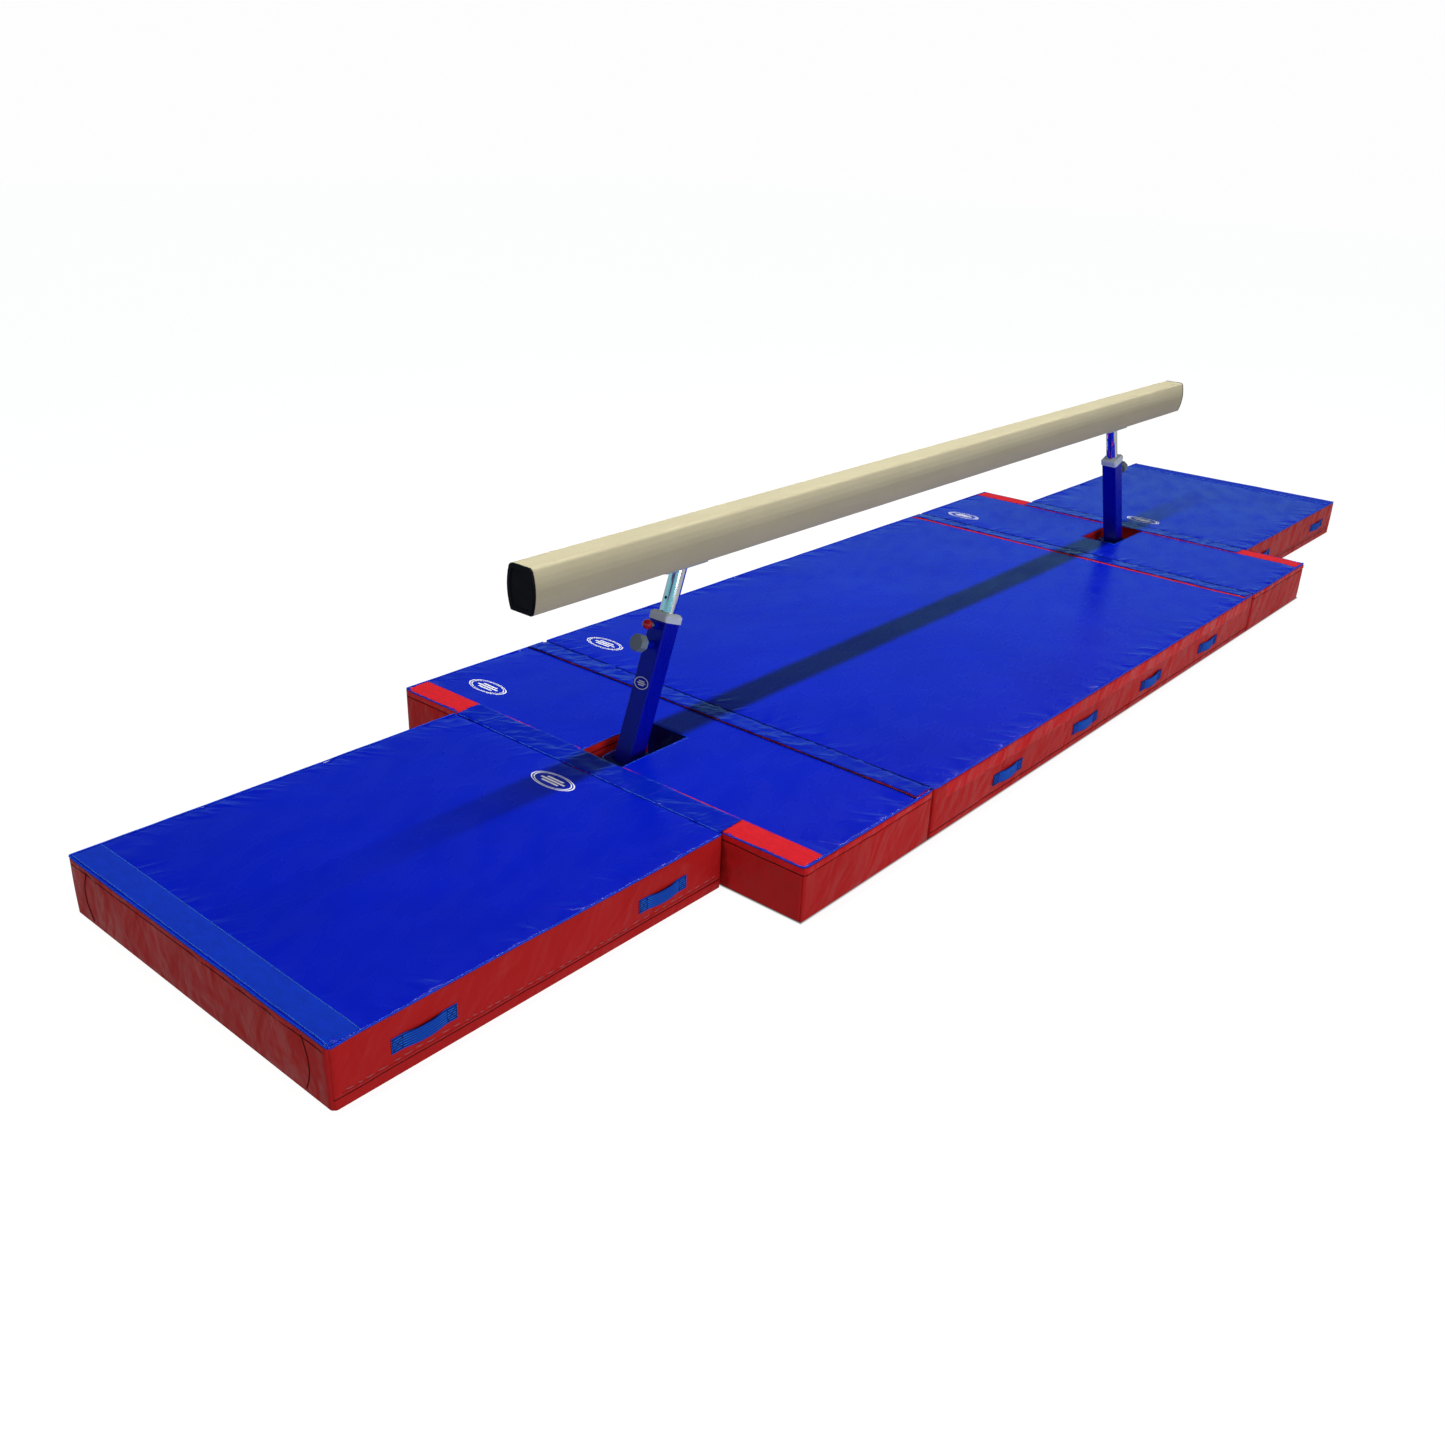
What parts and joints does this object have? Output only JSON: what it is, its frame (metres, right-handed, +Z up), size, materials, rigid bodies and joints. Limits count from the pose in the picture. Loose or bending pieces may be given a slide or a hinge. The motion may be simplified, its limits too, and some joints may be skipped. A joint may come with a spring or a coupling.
{
  "type": "balance beam",
  "caption": "Padded gymnastics balance beam on splayed telescopic legs, standing in fitted landing mats with leg slots and hook-and-loop joining flaps.",
  "frame": {"origin": "on the floor, under the middle of the beam, at the centre of the mats", "axes": "+X along the beam from the near end to the far end, +Y across it, +Z up"},
  "size_m": [7.5, 2, 1],
  "materials": {
    "suede": "matte",
    "bare_aluminium": "satin",
    "black_plastic": "satin",
    "galvanised_steel": "satin",
    "zinc_plated_steel": "satin",
    "chrome": "polished",
    "blue_paint": "satin",
    "grey_plastic": "satin",
    "knob_plastic": "satin",
    "red_plastic": "gloss",
    "white_nylon": "satin",
    "black_rubber": "matte",
    "mat_vinyl": "satin",
    "flap_vinyl": "satin"
  },
  "bodies": {
    "mats": {"mat_middle": "mat_vinyl", "mat_near_leg": "mat_vinyl", "mat_far_leg": "mat_vinyl"},
    "beam": {"beam_cover": "suede", "beam_extrusion": "bare_aluminium", "near_end_cap": "black_plastic", "near_mount_plate": "galvanised_steel", "near_backing_plate": "zinc_plated_steel", "near_inner_bolt": "zinc_plated_steel", "near_outer_bolt": "zinc_plated_steel", "near_inner_washer": "zinc_plated_steel", "near_outer_washer": "zinc_plated_steel", "near_inner_tube": "chrome", "near_guide_bush": "white_nylon", "far_end_cap": "black_plastic", "far_mount_plate": "galvanised_steel", "far_backing_plate": "zinc_plated_steel", "far_inner_bolt": "zinc_plated_steel", "far_outer_bolt": "zinc_plated_steel", "far_inner_washer": "zinc_plated_steel", "far_outer_washer": "zinc_plated_steel", "far_inner_tube": "chrome", "far_guide_bush": "white_nylon"},
    "middle_flap": {"flap_middle": "flap_vinyl"},
    "far_leg_flap": {"flap_far_leg": "flap_vinyl"},
    "near_leg": {"near_outer_tube": "blue_paint", "near_collar": "grey_plastic", "near_plunger_boss": "blue_paint", "near_clamp_boss": "blue_paint", "near_foot_socket": "blue_paint", "near_foot_bar": "blue_paint", "near_left_foot_cap": "black_plastic", "near_right_foot_cap": "black_plastic", "near_left_rubber_foot": "black_rubber", "near_right_rubber_foot": "black_rubber"},
    "near_plunger": {"near_plunger_pin": "zinc_plated_steel", "near_plunger_ball": "red_plastic"},
    "near_clamp_pad": {"near_clamp_pad": "white_nylon"},
    "near_clamp_knob": {"near_clamp_knob": "knob_plastic", "near_clamp_screw": "zinc_plated_steel"},
    "near_end_mat": {"mat_near_end": "mat_vinyl"},
    "near_end_flap": {"flap_near_end": "flap_vinyl"},
    "far_leg": {"far_outer_tube": "blue_paint", "far_collar": "grey_plastic", "far_plunger_boss": "blue_paint", "far_clamp_boss": "blue_paint", "far_foot_socket": "blue_paint", "far_foot_bar": "blue_paint", "far_left_foot_cap": "black_plastic", "far_right_foot_cap": "black_plastic", "far_left_rubber_foot": "black_rubber", "far_right_rubber_foot": "black_rubber"},
    "far_plunger": {"far_plunger_pin": "zinc_plated_steel", "far_plunger_ball": "red_plastic"},
    "far_clamp_pad": {"far_clamp_pad": "white_nylon"},
    "far_clamp_knob": {"far_clamp_knob": "knob_plastic", "far_clamp_screw": "zinc_plated_steel"},
    "far_end_mat": {"mat_far_end": "mat_vinyl"},
    "far_end_flap": {"flap_far_end": "flap_vinyl"}
  },
  "joints": [
    {"name": "beam_height", "type": "slide", "parent": "mats", "child": "beam", "axis": [0, 0, 1], "range_m": [-0.1, 0.25]},
    {"name": "near_leg_slide", "type": "slide", "parent": "beam", "child": "near_leg", "axis": [-0.3502, 0, -0.9367], "range_m": [-0.1075, 0.2676]},
    {"name": "near_plunger_pull", "type": "slide", "parent": "near_leg", "child": "near_plunger", "axis": [-0.9367, 0, 0.3502], "range_m": [0, 0.012], "stiffness_N_per_m": 900, "springref_m": -0.008},
    {"name": "near_clamp_travel", "type": "slide", "parent": "near_leg", "child": "near_clamp_pad", "axis": [-0.9367, 0, 0.3502], "range_m": [0, 0.0041]},
    {"name": "near_knob_turn", "type": "hinge", "parent": "near_clamp_pad", "child": "near_clamp_knob", "pos_m": [-1.93386, 0, 0.5842], "axis": [-0.9367, 0, 0.3502], "range_deg": [0, 720]},
    {"name": "near_end_mat_pull", "type": "slide", "parent": "mats", "child": "near_end_mat", "axis": [-1, 0, 0], "range_m": [0, 0.5]},
    {"name": "near_end_flap_lift", "type": "hinge", "parent": "near_end_mat", "child": "near_end_flap", "pos_m": [-2.259, 0, 0.2015], "axis": [0, -1, 0], "range_deg": [0, 180]},
    {"name": "far_leg_slide", "type": "slide", "parent": "beam", "child": "far_leg", "axis": [0.3502, 0, -0.9367], "range_m": [-0.1075, 0.2676]},
    {"name": "far_plunger_pull", "type": "slide", "parent": "far_leg", "child": "far_plunger", "axis": [0.9367, 0, 0.3502], "range_m": [0, 0.012], "stiffness_N_per_m": 900, "springref_m": -0.008},
    {"name": "far_clamp_travel", "type": "slide", "parent": "far_leg", "child": "far_clamp_pad", "axis": [0.9367, 0, 0.3502], "range_m": [0, 0.0041]},
    {"name": "far_knob_turn", "type": "hinge", "parent": "far_clamp_pad", "child": "far_clamp_knob", "pos_m": [1.93386, 0, 0.5842], "axis": [0.9367, 0, 0.3502], "range_deg": [0, 720]},
    {"name": "far_end_mat_pull", "type": "slide", "parent": "mats", "child": "far_end_mat", "axis": [1, 0, 0], "range_m": [0, 0.5]},
    {"name": "far_end_flap_lift", "type": "hinge", "parent": "far_end_mat", "child": "far_end_flap", "pos_m": [2.259, 0, 0.2015], "axis": [0, 1, 0], "range_deg": [0, 180]},
    {"name": "middle_flap_lift", "type": "hinge", "parent": "mats", "child": "middle_flap", "pos_m": [-1.491, 0, 0.2015], "axis": [0, 1, 0], "range_deg": [0, 180]},
    {"name": "far_leg_flap_lift", "type": "hinge", "parent": "mats", "child": "far_leg_flap", "pos_m": [1.509, 0, 0.2015], "axis": [0, 1, 0], "range_deg": [0, 180]}
  ],
  "couplings": [
    {"joint": "near_leg_slide", "follows": "beam_height", "ratio": 1.0676},
    {"joint": "near_clamp_travel", "follows": "near_knob_turn", "m_per_rad": 0.00031831},
    {"joint": "far_leg_slide", "follows": "beam_height", "ratio": 1.0676},
    {"joint": "far_clamp_travel", "follows": "far_knob_turn", "m_per_rad": 0.00031831}
  ]
}
